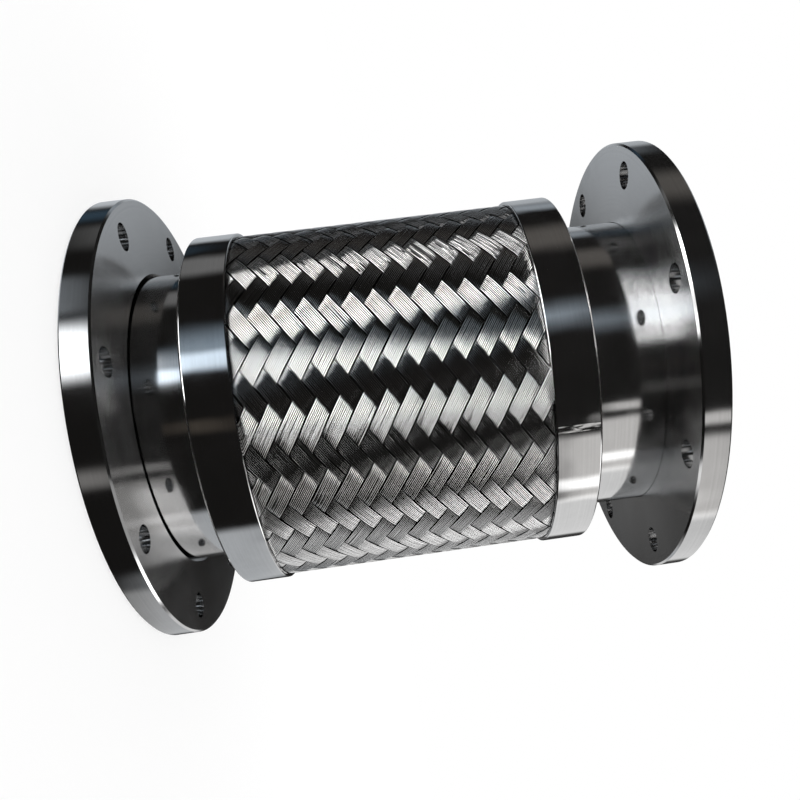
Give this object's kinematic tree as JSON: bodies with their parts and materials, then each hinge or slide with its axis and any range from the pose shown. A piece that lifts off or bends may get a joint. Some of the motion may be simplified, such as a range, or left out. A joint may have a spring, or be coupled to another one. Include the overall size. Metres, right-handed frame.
{
  "type": "braided metal hose",
  "caption": "Short flexible metal vacuum hose: corrugated tube in a braided wire sleeve held by polished rings, with a fixed bolt flange at one end and a loose one at the other.",
  "frame": {"origin": "on the hose axis, in the plane of the lap collar's sealing face, which the hose stands on", "axes": "+Z along the hose axis, from the loose flange to the fixed flange; the fixed flange's bolt holes straddle +X and +Y"},
  "size_m": [0.21, 0.21, 0.247],
  "materials": {
    "flange_steel": "satin turned faces with a polished rim",
    "polished_tube": "mirror polished with fine turning marks",
    "polished_ring": "mirror polished",
    "ring_steel": "turned",
    "bellows_steel": "bright annealed",
    "braid_wire": "bright drawn wire",
    "weld_metal": "brushed weld bead"
  },
  "bodies": {
    "hose": {"lap_collar": "flange_steel", "lap_collar_weld": "weld_metal", "lower_stub_tube": "polished_tube", "lower_support_ring": "ring_steel", "lower_support_weld": "weld_metal", "lower_cuff_weld": "weld_metal", "lower_ferrule": "polished_ring", "lower_ferrule_seam": "weld_metal", "lower_cap_weld": "weld_metal", "bellows": "bellows_steel", "braid_sleeve": "braid_wire", "upper_cap_weld": "weld_metal", "upper_ferrule_seam": "weld_metal", "upper_ferrule": "polished_ring", "upper_cuff_weld": "weld_metal", "upper_support_weld": "weld_metal", "upper_support_ring": "ring_steel", "upper_stub_tube": "polished_tube", "fixed_flange_weld": "weld_metal", "fixed_flange": "flange_steel"},
    "loose_flange": {"loose_flange": "flange_steel"}
  },
  "joints": [
    {"name": "loose_flange_turn", "type": "hinge", "parent": "hose", "child": "loose_flange", "pos_m": [0, 0, 0.007], "axis": [0, 0, 1], "continuous": true}
  ]
}
